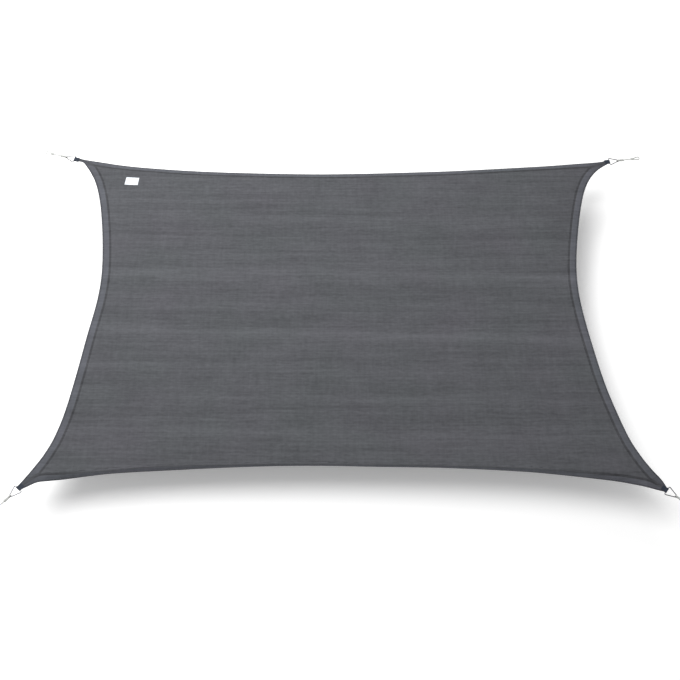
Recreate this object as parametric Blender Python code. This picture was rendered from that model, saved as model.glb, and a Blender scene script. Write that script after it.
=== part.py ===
"""Shade sail: a rectangle of knitted cloth with hollow-cut edges, stretched level from four corners.

Frame: X along the long sides, Y along the short sides, from the near edge to the far one, Z up.
The origin is the middle of the whole sail. Metres throughout.

Each corner carries the same hardware, made once in a corner frame and placed by a matrix:
its first axis points outward along the pull, its second lies to the left of it, its third is up.
"""
import math
from collections import namedtuple

import bmesh
import bpy
from mathutils import Matrix, Vector
from mathutils.geometry import intersect_line_line_2d

# ---------------------------------------------------------------- driving dimensions
SAIL_WIDTH = 3.000        # ring bar to ring bar along X
SAIL_DEPTH = 2.000        # ring bar to ring bar along Y
CORNER_LEVEL = 0.021      # height of the four ring bars

BODY_HALF = 0.0006        # half the thickness of the single cloth
LONG_HEM = 0.038          # width of the hem along the long edges
SHORT_HEM = 0.046         # and along the short ones
HEM_UP = 0.0010           # hem's upper face above its middle line
HEM_DOWN = 0.0018         # hem's lower face below it: the turned-in layers lie underneath
HEM_STEP = 0.002          # width of the slope from the hem down to the single cloth

LONG_SAG = 0.008          # sag of the long edges at their middles
SHORT_SAG = 0.005         # sag of the short edges at their middles
BELLY = 0.012             # what the middle of the cloth hangs below both
FLAT_RADIUS = 0.12        # the cloth is pulled flat this near a ring bar
FREE_RADIUS = 0.40        # and sags freely from here inward

STRAP_WIDTH = 0.025
STRAP_THICK = 0.0013
STRAP_LENGTH = 0.026      # from the ring bar to the strap's end on the cloth
TIP_SETBACK = 0.008       # from the ring bar to the cloth's blunt tip
TIP_WIDTH = 0.026
GAP = 0.0003              # clearance between touching pieces

RING_WIRE = 0.0025        # radius of the ring's wire
RING_HALF_WIDTH = 0.0225  # ring's middle line, from its axis to the end of its base bar
RING_APEX_BEND = 0.0065   # bend radius of the middle line at the apex
RING_BASE_BEND = 0.0045   # and at the two base corners, past the strap's edges
RING_LENGTH = 0.050       # from the base bar to the apex, along the middle line

ROPE = 0.003              # radius of the rope
KNOT = 0.0068             # radius of a wound knot
KNOT_GROOVE = 0.84        # radius between two of its turns, as a share of KNOT
KNOT_FACE = 0.60          # radius of its flat ends, as a share of KNOT
KNOT_TURNS = 4
KNOT_GRIP = 0.004         # how far a loop's two legs reach into their knot
LEG_APART = 0.0032        # from the knot's axis to either leg, a little more than the rope's radius
EYE_KNOT_START = 0.063    # distances outward from the ring bar
EYE_KNOT_END = 0.086
LOOP_KNOT_START = 0.124
LOOP_KNOT_END = 0.144
EYE_BULGE = 0.0042        # from the pull axis to a leg on its way out of the knot
LOOP_BULGE = 0.0068
LOOP_HALF_WIDTH = 0.0095  # rope's middle line at the widest place of the end loop
LOOP_LENGTH = 0.030       # from the knot to the far side of the end loop

LABEL_THICK = 0.0008

CELLS_ALONG = 40          # cells of the single cloth, left to right
CELLS_ACROSS = 26         # near to far
CROWDING = 1.25           # over 1 crowds the cells toward the creased near right corner
FAN_STEPS = 3             # columns between a corner's tip and the start of its plain hem
HEM_BENDS = (0.6, 1.0, 1.1)   # slope of the hem's three strips, as shares of its curl
OUTLINE_STEPS = 12        # points to each span of an edge's table
MITRE_REACH = 0.30        # the fold lines cross within this distance of a tip
MITRE_STEPS = 100

ROD_BEVEL = 2             # bevel resolution of wire and rope: 8 sides
RING_ARC_STEPS = 5
STRAP_ARC_STEPS = 8
ROPE_SIDES = 8
ROPE_SPANS = 3            # lengths of the straight rope between its points
LEG_STEPS = 4
TURN_STEPS = 10
KNOT_SIDES = 10
STEPS_PER_TURN = 3
SMOOTH_UP_TO = 40         # degrees: a sharper edge stays a visible edge

# ---------------------------------------------------------------- shape tables
# Corners, counter-clockwise from above; pull is the rope's direction in degrees from +X.
Corner = namedtuple("Corner", "name x y pull")
CORNERS = (
    Corner("near_left", -SAIL_WIDTH / 2, -SAIL_DEPTH / 2, 229),
    Corner("near_right", SAIL_WIDTH / 2, -SAIL_DEPTH / 2, -38),
    Corner("far_right", SAIL_WIDTH / 2, SAIL_DEPTH / 2, 9),
    Corner("far_left", -SAIL_WIDTH / 2, SAIL_DEPTH / 2, 164),
)

# The four edges, in the same order, each from one corner's tip to the next.
# at: place along the edge, in X on a long edge and in Y on a short one.
# hollow: how far the outline lies inside the line between the two ring bars.
# curl: how steeply the hem hangs down there, in degrees.
Bow = namedtuple("Bow", "at hollow curl")
NEAR_EDGE = (
    Bow(-1.455, 0.014, 0), Bow(-1.420, 0.035, 12), Bow(-1.372, 0.047, 34), Bow(-1.300, 0.060, 56),
    Bow(-1.190, 0.081, 78), Bow(-1.080, 0.096, 84), Bow(-0.860, 0.111, 72), Bow(-0.520, 0.132, 93),
    Bow(-0.180, 0.143, 104), Bow(0.160, 0.138, 98), Bow(0.500, 0.132, 98), Bow(0.840, 0.113, 82),
    Bow(1.060, 0.090, 72), Bow(1.280, 0.057, 55), Bow(1.385, 0.030, 28), Bow(1.434, 0.009, 0),
)
RIGHT_EDGE = (
    Bow(-0.948, 0.015, 0), Bow(-0.887, 0.057, 0), Bow(-0.825, 0.092, 3), Bow(-0.740, 0.129, 5),
    Bow(-0.600, 0.169, 5), Bow(-0.430, 0.208, 5), Bow(-0.220, 0.240, 5), Bow(0.000, 0.266, 5),
    Bow(0.150, 0.273, 5), Bow(0.300, 0.264, 5), Bow(0.500, 0.233, 5), Bow(0.680, 0.195, 5),
    Bow(0.800, 0.160, 4), Bow(0.880, 0.120, 2), Bow(0.937, 0.073, 0), Bow(0.967, 0.035, 0),
)
FAR_EDGE = (
    Bow(1.450, 0.003, 0), Bow(1.315, 0.012, 11), Bow(1.180, 0.022, 16), Bow(0.910, 0.040, 18),
    Bow(0.640, 0.058, 18), Bow(0.370, 0.070, 18), Bow(0.100, 0.080, 18), Bow(-0.170, 0.085, 18),
    Bow(-0.570, 0.079, 18), Bow(-0.840, 0.069, 18), Bow(-1.107, 0.049, 18), Bow(-1.241, 0.036, 14),
    Bow(-1.354, 0.019, 7), Bow(-1.444, 0.005, 0),
)
LEFT_EDGE = (
    Bow(0.977, 0.048, 0), Bow(0.948, 0.072, 0), Bow(0.905, 0.099, 2), Bow(0.848, 0.129, 4),
    Bow(0.765, 0.158, 5), Bow(0.650, 0.185, 5), Bow(0.450, 0.217, 5), Bow(0.230, 0.238, 5),
    Bow(0.060, 0.235, 5), Bow(-0.160, 0.209, 5), Bow(-0.400, 0.183, 5), Bow(-0.600, 0.156, 5),
    Bow(-0.740, 0.124, 5), Bow(-0.830, 0.089, 3), Bow(-0.896, 0.053, 0), Bow(-0.957, 0.015, 0),
)
EDGES = (NEAR_EDGE, RIGHT_EDGE, FAR_EDGE, LEFT_EDGE)

# Slack creases and shallow dips, from one point to another: rise is up from the smooth cloth.
Crease = namedtuple("Crease", "x0 y0 x1 y1 half_width rise")
CREASES = (
    Crease(0.68, -0.14, 0.92, -0.53, 0.045, 0.0045),
    Crease(0.92, -0.53, 1.26, -0.88, 0.040, 0.0060),
    Crease(0.62, -0.49, 0.88, -0.80, 0.040, 0.0050),
    Crease(1.05, -0.20, 1.20, -0.58, 0.050, 0.0030),
    Crease(0.98, -0.46, 1.12, -0.62, 0.070, -0.0035),
    Crease(0.74, -0.52, 0.86, -0.66, 0.045, -0.0030),
    Crease(-1.12, -0.32, -1.22, -0.62, 0.060, 0.0025),
    Crease(-0.40, -0.52, -0.28, -0.68, 0.050, 0.0025),
    Crease(-0.92, -0.862, -0.79, -0.858, 0.022, -0.0045),
)

# The label's corners in plan, counter-clockwise from its near left one.
LabelPoint = namedtuple("LabelPoint", "x y")
LABEL = (
    LabelPoint(-1.203, 0.820), LabelPoint(-1.131, 0.818),
    LabelPoint(-1.127, 0.870), LabelPoint(-1.197, 0.872),
)

# name: (colour, roughness, metallic)
MATERIALS = {
    "knit_cloth": ((0.115, 0.118, 0.124, 1.0), 0.85, 0.0),
    "label_cloth": ((0.86, 0.89, 0.92, 1.0), 0.70, 0.0),
    "webbing": ((0.020, 0.026, 0.036, 1.0), 0.75, 0.0),
    "ring_steel": ((0.72, 0.73, 0.74, 1.0), 0.22, 1.0),
    "rope_fibre": ((0.80, 0.80, 0.77, 1.0), 0.80, 0.0),
}


# ---------------------------------------------------------------- helpers
def clear_scene():
    for item in list(bpy.data.objects):
        bpy.data.objects.remove(item, do_unlink=True)


def make_materials():
    made = {}
    for name, (colour, roughness, metallic) in MATERIALS.items():
        material = bpy.data.materials.new(name)
        material.use_nodes = True
        shader = material.node_tree.nodes["Principled BSDF"]
        shader.inputs["Base Color"].default_value = colour
        shader.inputs["Roughness"].default_value = roughness
        shader.inputs["Metallic"].default_value = metallic
        made[name] = material
    return made


def add_object(name, data, material):
    """Put a mesh or curve in the scene, its gentle edges shaded smooth."""
    item = bpy.data.objects.new(name, data)
    bpy.context.scene.collection.objects.link(item)
    data.materials.append(material)
    if isinstance(data, bpy.types.Mesh):
        data.shade_smooth()
        data.set_sharp_from_angle(angle=math.radians(SMOOTH_UP_TO))
    return item


def mesh_from(bm, name):
    bmesh.ops.recalc_face_normals(bm, faces=bm.faces)
    mesh = bpy.data.meshes.new(name)
    bm.to_mesh(mesh)
    bm.free()
    return mesh


def ease(low, high, value):
    """0 below low, 1 above high, smooth between them."""
    share = min(max((value - low) / (high - low), 0.0), 1.0)
    return share * share * (3 - 2 * share)


def smooth_path(points, steps):
    """Points along a smooth curve through the given ones, steps to each span.

    The tangents follow the distances between the points, so uneven spacing makes no loops.
    A point may carry further values after its coordinates: they are smoothed in the same way.
    """
    pts = [Vector(p) for p in points]
    knots = [0.0]
    for first, second in zip(pts, pts[1:]):
        knots.append(knots[-1] + (second.xy - first.xy).length)
    slopes = []
    for i in range(len(pts)):
        low, high = max(i - 1, 0), min(i + 1, len(pts) - 1)
        slopes.append((pts[high] - pts[low]) / (knots[high] - knots[low]))
    out = []
    for i in range(len(pts) - 1):
        span = knots[i + 1] - knots[i]
        for step in range(steps):
            t = step / steps
            out.append((2 * t**3 - 3 * t**2 + 1) * pts[i] + (t**3 - 2 * t**2 + t) * span * slopes[i]
                       + (3 * t**2 - 2 * t**3) * pts[i + 1] + (t**3 - t**2) * span * slopes[i + 1])
    out.append(pts[-1])
    return out


def corner_matrix(corner):
    turn = Matrix.Rotation(math.radians(corner.pull), 4, "Z")
    return Matrix.Translation((corner.x, corner.y, CORNER_LEVEL)) @ turn


# ---------------------------------------------------------------- cloth: heights
def crease_rise(x, y):
    """Sum of the creases: each a soft ridge or trough that dies out past its two ends."""
    rise = 0.0
    for crease in CREASES:
        start = Vector((crease.x0, crease.y0))
        along = Vector((crease.x1, crease.y1)) - start
        offset = Vector((x, y)) - start
        share = offset.dot(along) / along.length_squared
        beyond = max(-share, share - 1, 0.0) * along.length
        aside = (offset - share * along).length
        spread = (aside / crease.half_width) ** 2 + (beyond / (2 * crease.half_width)) ** 2
        rise += crease.rise * math.exp(-spread)
    return rise


def height(x, y):
    """Middle of the cloth's thickness."""
    s, t = 2 * x / SAIL_WIDTH, 2 * y / SAIL_DEPTH
    sag = LONG_SAG * (1 - s * s) + SHORT_SAG * (1 - t * t) + BELLY * (1 - s * s) * (1 - t * t)
    free = 1.0
    for corner in CORNERS:
        free *= ease(FLAT_RADIUS, FREE_RADIUS, math.hypot(x - corner.x, y - corner.y))
    return CORNER_LEVEL + free * (crease_rise(x, y) - sag)


# ---------------------------------------------------------------- cloth: outline and hem
def tip_point(corner, side):
    """One end of the cloth's blunt tip: side 1 starts the next edge, side -1 ends the last one."""
    place = corner_matrix(corner) @ Vector((-TIP_SETBACK, side * TIP_WIDTH / 2, 0))
    return (place.x, place.y, 0)


def outline(number):
    """Dense points (x, y, curl) of one edge, counter-clockwise, from tip to tip."""
    inner_sign = (1, -1, -1, 1)[number]
    rows = []
    for bow in EDGES[number]:
        half = (SAIL_DEPTH if number % 2 == 0 else SAIL_WIDTH) / 2
        side = inner_sign * (bow.hollow - half)
        rows.append((bow.at, side, bow.curl) if number % 2 == 0 else (side, bow.at, bow.curl))
    start, end = CORNERS[number], CORNERS[(number + 1) % 4]
    return smooth_path([tip_point(start, 1)] + rows + [tip_point(end, -1)], OUTLINE_STEPS)


def hem_profile(curl, hem):
    """(breadth in plan, drop, slope) of the hem's middle line at the end of each of its strips."""
    breadth = drop = 0.0
    profile = []
    strip = hem / len(HEM_BENDS)
    for bend in HEM_BENDS:
        slope = math.radians(curl) * bend
        breadth += strip * math.cos(slope)
        drop += strip * math.sin(slope)
        profile.append((breadth, drop, slope))
    return profile


class Edge:
    """One edge: its outline, and the fold line where the hem meets the single cloth."""

    def __init__(self, number):
        self.hem = LONG_HEM if number % 2 == 0 else SHORT_HEM
        self.points = outline(number)
        self.curls = [max(p.z, 0.0) for p in self.points]
        self.lengths = [0.0]
        for first, second in zip(self.points, self.points[1:]):
            self.lengths.append(self.lengths[-1] + (second.xy - first.xy).length)

    def sample(self, length):
        """Outline point, inward direction, curl and hem width at a distance from the first tip."""
        last = len(self.points) - 2
        i = next((k for k in range(last + 1) if length <= self.lengths[k + 1]), last)
        share = (length - self.lengths[i]) / (self.lengths[i + 1] - self.lengths[i])
        point = self.points[i].xy.lerp(self.points[i + 1].xy, share)
        ahead = self.points[min(i + 2, last + 1)].xy - self.points[i + 1].xy
        here = self.points[i + 1].xy - self.points[i].xy
        back = here if i == 0 else self.points[i].xy - self.points[i - 1].xy
        before, after = (here + back) / 2, (here + ahead) / 2
        tangent = before.lerp(after, share).normalized()
        curl = self.curls[i] + share * (self.curls[i + 1] - self.curls[i])
        return point, Vector((-tangent.y, tangent.x)), curl, self.hem

    def fold(self, length):
        point, inward, curl, hem = self.sample(length)
        return point + inward * hem_profile(curl, hem)[-1][0]


def mitre(ending, starting):
    """Where the fold lines of two edges cross near their common corner.

    Returns both distances, each measured from its own edge's first tip, and the crossing.
    """
    total = ending.lengths[-1]
    second = [MITRE_REACH * k / MITRE_STEPS for k in range(MITRE_STEPS + 1)]
    first = [total - length for length in second]
    folds_a = [ending.fold(length) for length in first]
    folds_b = [starting.fold(length) for length in second]
    for i in range(MITRE_STEPS):
        for k in range(MITRE_STEPS):
            cross = intersect_line_line_2d(folds_a[i], folds_a[i + 1], folds_b[k], folds_b[k + 1])
            if cross is not None:
                return first[i], second[k], cross
    raise ValueError("the fold lines do not cross")


Column = namedtuple("Column", "root outer inward curl hem")


def crowded(count):
    """Shares from 0 to 1, closer together toward 1."""
    return [1 - (1 - i / count) ** CROWDING for i in range(count + 1)]


def hem_layout():
    """The hem's inner points, how many of them ring the single cloth, and the hem's columns.

    A column runs out from its root, one of the inner points, to the outline. The roots of the
    plain hem lie on the fold line. In a corner, where two hems overlap, they lie on a spine
    midway between the two edges, from the fold lines' crossing out to the middle of the tip.
    """
    edges = [Edge(number) for number in range(4)]
    mitres = [mitre(edges[number - 1], edges[number]) for number in range(4)]
    shares_long, shares_short = crowded(CELLS_ALONG), crowded(CELLS_ACROSS)
    # The near edge runs left to right and the far one right to left; the right edge runs
    # near to far and the left one far to near. Cells crowd to the right and to the near side.
    shares = (
        shares_long,
        [1 - s for s in reversed(shares_short)],
        [1 - s for s in reversed(shares_long)],
        shares_short,
    )
    roots = []
    for number, edge in enumerate(edges):
        start, end = mitres[number][1], mitres[(number + 1) % 4][0]
        roots.append(mitres[number][2])
        roots += [edge.fold(start + share * (end - start)) for share in shares[number][1:-1]]
    ring_size = len(roots)

    def corner_columns(number, step):
        """A corner's two columns at one step from the tip: on the edge that ends and on the next."""
        share = step / FAN_STEPS
        ending, starting = edges[number - 1], edges[number]
        total = ending.lengths[-1]
        return (ending.sample(total - share * (total - mitres[number][0])),
                starting.sample(share * mitres[number][1]))

    for number in range(4):
        for step in range(FAN_STEPS):
            ending, starting = corner_columns(number, step)
            roots.append((ending[0] + starting[0]) / 2)

    columns = []
    first_on_fold = 0
    for number, edge in enumerate(edges):
        following = (number + 1) % 4
        start, end = mitres[number][1], mitres[following][0]
        for step in range(FAN_STEPS):
            root = ring_size + number * FAN_STEPS + step
            columns.append(Column(root, *corner_columns(number, step)[1]))
        for i, share in enumerate(shares[number]):
            root = (first_on_fold + i) % ring_size
            columns.append(Column(root, *edge.sample(start + share * (end - start))))
        for step in reversed(range(FAN_STEPS)):
            root = ring_size + following * FAN_STEPS + step
            columns.append(Column(root, *corner_columns(following, step)[0]))
        first_on_fold += len(shares[number]) - 1
    return roots, ring_size, columns


# ---------------------------------------------------------------- cloth: the solid
def inset_ring(folds):
    """The fold line moved inward by the hem's step, as the border of the single cloth."""
    out = []
    for i, point in enumerate(folds):
        before = (point - folds[i - 1]).normalized()
        after = (folds[(i + 1) % len(folds)] - point).normalized()
        inward = Vector((-(before.y + after.y), before.x + after.x)).normalized()
        # Where the line turns sharply, as at a corner, the step is longer along the bisector.
        out.append(point + inward * HEM_STEP / inward.dot(Vector((-before.y, before.x))))
    return out


def cloth_grid(ring):
    """Points of the single cloth, blended from its four borders; row 0 is the near one."""
    a, b = CELLS_ALONG, CELLS_ACROSS
    near = ring[0:a + 1]
    right = ring[a:a + b + 1]
    far = list(reversed(ring[a + b:2 * a + b + 1]))
    left = list(reversed(ring[2 * a + b:] + ring[:1]))
    u_shares = crowded(a)
    v_shares = [1 - s for s in reversed(crowded(b))]
    rows = []
    for j, v in enumerate(v_shares):
        row = []
        for i, u in enumerate(u_shares):
            edges = (1 - v) * near[i] + v * far[i] + (1 - u) * left[j] + u * right[j]
            corners = ((1 - u) * (1 - v) * near[0] + u * (1 - v) * near[-1]
                       + (1 - u) * v * far[0] + u * v * far[-1])
            row.append(edges - corners)
        rows.append(row)
    return rows


class Sheet:
    """Builds the cloth's upper and lower skins side by side."""

    def __init__(self):
        self.bm = bmesh.new()

    def pair(self, middle, normal, up, down):
        return (self.bm.verts.new(middle + normal * up), self.bm.verts.new(middle - normal * down))

    def face(self, pairs):
        """One cell in both skins, from its corners counter-clockwise; repeats are dropped."""
        unique = [p for i, p in enumerate(pairs) if p is not pairs[i - 1]]
        self.bm.faces.new([p[0] for p in unique])
        self.bm.faces.new([p[1] for p in reversed(unique)])

    def rim(self, first, second):
        self.bm.faces.new((first[1], second[1], second[0], first[0]))


def on_cloth(plan, drop=0.0):
    return Vector((plan.x, plan.y, height(plan.x, plan.y) - drop))


def build_cloth(material):
    roots, ring_size, columns = hem_layout()
    sheet = Sheet()
    up = Vector((0, 0, 1))

    grid = [[sheet.pair(on_cloth(p), up, BODY_HALF, BODY_HALF) for p in row]
            for row in cloth_grid(inset_ring(roots[:ring_size]))]
    for near, far in zip(grid, grid[1:]):
        for i in range(CELLS_ALONG):
            sheet.face((near[i], near[i + 1], far[i + 1], far[i]))

    border = (grid[0][:-1] + [row[-1] for row in grid[:-1]]
              + list(reversed(grid[-1][1:])) + [row[0] for row in reversed(grid[1:])])
    root_pairs = [sheet.pair(on_cloth(p), up, HEM_UP, HEM_DOWN) for p in roots]
    for i in range(ring_size):
        k = (i + 1) % ring_size
        sheet.face((root_pairs[i], root_pairs[k], border[k], border[i]))

    ladders = []
    for column in columns:
        root = roots[column.root]
        profile = hem_profile(column.curl, column.hem)
        # Zero along the plain hem. In a corner it spreads the hem from the spine to the outline.
        stretch = column.outer - root + column.inward * profile[-1][0]
        ladder = [root_pairs[column.root]]
        for k, (breadth, drop, slope) in enumerate(profile):
            lean = (slope + profile[min(k + 1, len(profile) - 1)][2]) / 2
            normal = up * math.cos(lean) - column.inward.to_3d() * math.sin(lean)
            plan = root - column.inward * breadth + stretch * (k + 1) / len(profile)
            ladder.append(sheet.pair(on_cloth(plan, drop), normal, HEM_UP, HEM_DOWN))
        ladders.append(ladder)
    for i, ladder in enumerate(ladders):
        following = ladders[(i + 1) % len(ladders)]
        if ladder[0] is following[0]:
            # The two columns of a tip share their root: the blunt end's rim runs along both.
            blunt_end = ladder[:0:-1] + following
            for first, second in zip(blunt_end, blunt_end[1:]):
                sheet.rim(first, second)
            continue
        for k in range(len(HEM_BENDS)):
            sheet.face((ladder[k], ladder[k + 1], following[k + 1], following[k]))
        sheet.rim(ladder[-1], following[-1])

    return add_object("sail_cloth", mesh_from(sheet.bm, "sail_cloth"), material)


def build_label(material):
    """A thin four-sided tag lying on the cloth."""
    bm = bmesh.new()
    lower, upper = [], []
    for point in LABEL:
        base = height(point.x, point.y) + BODY_HALF + GAP
        lower.append(bm.verts.new((point.x, point.y, base)))
        upper.append(bm.verts.new((point.x, point.y, base + LABEL_THICK)))
    bm.faces.new(reversed(lower))
    bm.faces.new(upper)
    for i in range(len(LABEL)):
        k = (i + 1) % len(LABEL)
        bm.faces.new((lower[i], lower[k], upper[k], upper[i]))
    return add_object("care_label", mesh_from(bm, "care_label"), material)


# ---------------------------------------------------------------- corner hardware
def arc(centre, radius, start, end, steps):
    """Points of an arc about a centre; angles in degrees."""
    out = []
    for k in range(steps + 1):
        angle = math.radians(start + (end - start) * k / steps)
        out.append(Vector((centre[0] + radius * math.cos(angle),
                           centre[1] + radius * math.sin(angle))))
    return out


def curve_tube(name, points, radius, cyclic, material):
    """A round rod along points; an open one has filled caps."""
    curve = bpy.data.curves.new(name, "CURVE")
    curve.dimensions = "3D"
    curve.bevel_depth = radius
    curve.bevel_resolution = ROD_BEVEL
    curve.use_fill_caps = True
    spline = curve.splines.new("POLY")
    spline.points.add(len(points) - 1)
    for slot, point in zip(spline.points, points):
        slot.co = (*point, 1)
    spline.use_cyclic_u = cyclic
    spline.use_smooth = True
    return add_object(name, curve, material)


def ring_path():
    """Middle line of the triangular ring, in the corner frame."""
    apex = RING_LENGTH - RING_APEX_BEND
    base = RING_BASE_BEND
    low_centre = (base, RING_HALF_WIDTH - base)
    # A side touches both bend circles, so its lean follows from their centres and radii.
    run = apex - low_centre[0]
    rise = low_centre[1]
    lean = math.degrees(math.atan2(rise, run)
                        + math.asin((base - RING_APEX_BEND) / math.hypot(run, rise)))
    upper = arc((apex, 0), RING_APEX_BEND, 0, 90 - lean, RING_ARC_STEPS)
    upper += arc(low_centre, base, 90 - lean, 180, RING_ARC_STEPS)
    middle = [Vector((0, low_centre[1] * share)) for share in (0.5, 0, -0.5)]
    lower = [Vector((p.x, -p.y)) for p in reversed(upper)]
    return [Vector((p.x, p.y, 0)) for p in upper + middle + lower[:-1]]


def strap_profile():
    """Side view of the folded strap: (outward, up) points of its closed outline."""
    inner = RING_WIRE + GAP
    outer = inner + STRAP_THICK
    rest_up = HEM_UP + GAP
    rest_down = -HEM_DOWN - GAP
    neck, tail = -TIP_SETBACK, -STRAP_LENGTH
    bend_out = arc((0, 0), outer, -90, 90, STRAP_ARC_STEPS)
    bend_in = arc((0, 0), inner, 90, -90, STRAP_ARC_STEPS)
    top = [Vector((neck, rest_up + STRAP_THICK)), Vector((tail, rest_up + STRAP_THICK)),
           Vector((tail, rest_up)), Vector((neck, rest_up))]
    low = [Vector((neck, rest_down)), Vector((tail, rest_down)),
           Vector((tail, rest_down - STRAP_THICK)), Vector((neck, rest_down - STRAP_THICK))]
    return bend_out + top + bend_in + low


def strap_mesh():
    bm = bmesh.new()
    half = STRAP_WIDTH / 2
    left = [bm.verts.new((p.x, half, p.y)) for p in strap_profile()]
    face = bm.faces.new(left)
    moved = bmesh.ops.extrude_face_region(bm, geom=[face])["geom"]
    verts = [item for item in moved if isinstance(item, bmesh.types.BMVert)]
    bmesh.ops.translate(bm, verts=verts, vec=(0, -STRAP_WIDTH, 0))
    return mesh_from(bm, "strap")


def sweep(bm, path):
    """Adds a rope along a path that lies in one plane, with flat ends."""
    count = len(path)
    flat_axis = (path[count // 2] - path[0]).cross(path[-1] - path[0]).normalized()
    rings = []
    for i, point in enumerate(path):
        tangent = (path[min(i + 1, count - 1)] - path[max(i - 1, 0)]).normalized()
        across = tangent.cross(flat_axis)
        ring = []
        for k in range(ROPE_SIDES):
            angle = 2 * math.pi * (k + 0.5) / ROPE_SIDES
            offset = across * math.cos(angle) + flat_axis * math.sin(angle)
            ring.append(bm.verts.new(point + offset * ROPE))
        rings.append(ring)
    for ring, following in zip(rings, rings[1:]):
        for k in range(ROPE_SIDES):
            m = (k + 1) % ROPE_SIDES
            bm.faces.new((ring[k], ring[m], following[m], following[k]))
    bm.faces.new(reversed(rings[0]))
    bm.faces.new(rings[-1])


def knot_mesh(name, start, end):
    """A wound knot: a short barrel with a ridge for each turn, turned about the pull axis."""
    bm = bmesh.new()
    steps = KNOT_TURNS * STEPS_PER_TURN
    profile = [(start, 0.0), (start, KNOT * KNOT_FACE)]
    for k in range(1, steps):
        ridge = abs(math.sin(math.pi * k / STEPS_PER_TURN))
        radius = KNOT * (KNOT_GROOVE + (1 - KNOT_GROOVE) * ridge)
        profile.append((start + (end - start) * k / steps, radius))
    profile += [(end, KNOT * KNOT_FACE), (end, 0.0)]
    verts = [bm.verts.new((a, 0, r)) for a, r in profile]
    edges = [bm.edges.new(pair) for pair in zip(verts, verts[1:])]
    bmesh.ops.spin(bm, geom=verts + edges, cent=(0, 0, 0), axis=(1, 0, 0), angle=2 * math.pi,
                   steps=KNOT_SIDES, use_merge=False)
    bmesh.ops.remove_doubles(bm, verts=bm.verts, dist=0.00001)
    return mesh_from(bm, name)


def drop_path(neck, widest, half_width, leg_bulge):
    """A drop-shaped bend of rope: out of the knot at neck, round a half circle at widest, and back.

    The points lie in a plane: x along the pull, y to one side.
    """
    side = math.copysign(1, widest - neck)
    midway = (neck + widest) / 2
    leg = smooth_path([(neck, LEG_APART, 0), (midway, leg_bulge, 0), (widest, half_width, 0)], LEG_STEPS)
    turn = arc((widest, 0), half_width, 90, 90 - side * 180, TURN_STEPS)
    back = [Vector((p.x, -p.y, 0)) for p in reversed(leg)]
    return leg[:-1] + [p.to_3d() for p in turn] + back[1:]


def eye_path():
    """The rope's eye round the ring's apex: it stands upright, in the pull plane."""
    path = drop_path(EYE_KNOT_START + KNOT_GRIP, RING_LENGTH, RING_WIRE + GAP + ROPE, EYE_BULGE)
    return [Vector((p.x, 0, p.y)) for p in path]


def loop_path():
    """The end loop: it lies level, wider than the eye."""
    return drop_path(LOOP_KNOT_END - KNOT_GRIP, LOOP_KNOT_END + LOOP_LENGTH - LOOP_HALF_WIDTH,
                     LOOP_HALF_WIDTH, LOOP_BULGE)


def knotted_loop(name, path, knot_start, knot_end, place, material):
    """A drop-shaped loop of rope joined to its wound knot as one body."""
    bm = bmesh.new()
    sweep(bm, path)
    loop = add_object(name, mesh_from(bm, name), material)
    loop.matrix_world = place
    cutter = add_object(name + "_knot_shape", knot_mesh(name + "_knot", knot_start, knot_end), material)
    cutter.matrix_world = place
    cutter.hide_render = True
    cutter.display_type = "WIRE"
    union = loop.modifiers.new("join_knot", "BOOLEAN")
    union.operation = "UNION"
    union.solver = "EXACT"
    union.object = cutter
    return loop


def build_corner(corner, materials):
    place = corner_matrix(corner)
    fibre = materials["rope_fibre"]
    ring = curve_tube("ring_" + corner.name, ring_path(), RING_WIRE, True, materials["ring_steel"])
    ring.matrix_world = place
    strap = add_object("strap_" + corner.name, strap_mesh(), materials["webbing"])
    strap.matrix_world = place
    knotted_loop("rope_eye_" + corner.name, eye_path(), EYE_KNOT_START, EYE_KNOT_END, place, fibre)
    start, end = EYE_KNOT_END + GAP, LOOP_KNOT_START - GAP
    route = [Vector((start + (end - start) * k / ROPE_SPANS, 0, 0)) for k in range(ROPE_SPANS + 1)]
    rope = curve_tube("rope_" + corner.name, route, ROPE, False, fibre)
    rope.matrix_world = place
    knotted_loop("rope_loop_" + corner.name, loop_path(), LOOP_KNOT_START, LOOP_KNOT_END, place, fibre)


def main():
    clear_scene()
    materials = make_materials()
    build_cloth(materials["knit_cloth"])
    build_label(materials["label_cloth"])
    for corner in CORNERS:
        build_corner(corner, materials)


main()
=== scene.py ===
"""Looks of a rectangular shade sail: knitted cloth, sewn hem, webbing, rings, ropes and label.

Frame: X along the long sides, Y from the near edge to the far one, Z up, metres.
"""
import math
from collections import namedtuple

import bpy
import numpy as np
from mathutils import Matrix, Vector
from mathutils.bvhtree import BVHTree
from mathutils.geometry import intersect_line_line_2d


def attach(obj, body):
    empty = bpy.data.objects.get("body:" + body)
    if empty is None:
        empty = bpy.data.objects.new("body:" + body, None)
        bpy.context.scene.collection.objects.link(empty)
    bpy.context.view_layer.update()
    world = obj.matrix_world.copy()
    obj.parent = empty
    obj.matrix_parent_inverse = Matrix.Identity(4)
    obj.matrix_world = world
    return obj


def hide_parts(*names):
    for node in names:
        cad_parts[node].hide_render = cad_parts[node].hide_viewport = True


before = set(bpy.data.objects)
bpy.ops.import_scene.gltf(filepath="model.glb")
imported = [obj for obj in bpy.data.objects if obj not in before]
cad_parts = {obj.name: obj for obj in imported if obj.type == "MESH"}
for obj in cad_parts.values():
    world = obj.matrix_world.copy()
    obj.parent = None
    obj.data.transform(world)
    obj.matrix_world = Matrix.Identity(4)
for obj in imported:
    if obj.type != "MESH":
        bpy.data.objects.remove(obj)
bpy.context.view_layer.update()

# ---------------------------------------------------------------- sizes of the solids
SAIL_WIDTH = 3.000        # ring bar to ring bar along X
SAIL_DEPTH = 2.000        # ring bar to ring bar along Y
CORNER_LEVEL = 0.021      # height of the four ring bars
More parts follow.
